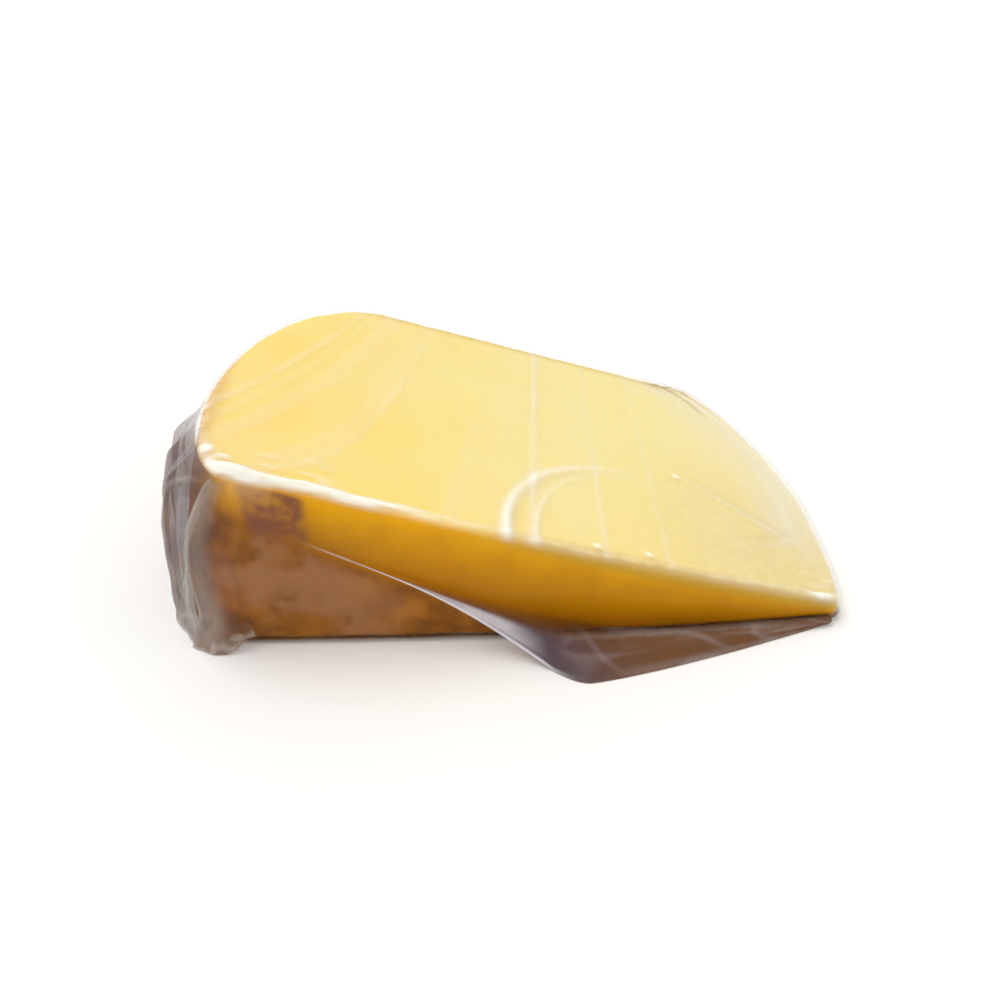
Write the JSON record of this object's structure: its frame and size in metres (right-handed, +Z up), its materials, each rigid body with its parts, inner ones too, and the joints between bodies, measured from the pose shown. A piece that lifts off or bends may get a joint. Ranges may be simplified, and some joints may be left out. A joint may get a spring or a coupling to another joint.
{
  "type": "wrapped cheese wedge",
  "caption": "Wedge of hard cheese with a rounded rim and a blunt thin tip, lying on one cut face in clear plastic film that is gathered at the rim and flares into a loose flap in front.",
  "frame": {"origin": "on the table, under the middle of the whole object's box", "axes": "+Z up, +X from the rim towards the thin tip, +Y from the near flat side of the wheel towards the far one"},
  "size_m": [0.1578, 0.1146, 0.0472],
  "materials": {
    "cheese": "pale yellow cut paste with a yellow-brown natural rind, waxy, satin",
    "film": "clear stretch film, glossy, slightly milky where it lies in folds"
  },
  "bodies": {
    "root": {"cheese": "cheese", "film_sleeve": "film", "film_gather": "film", "film_flap": "film"}
  },
  "joints": []
}
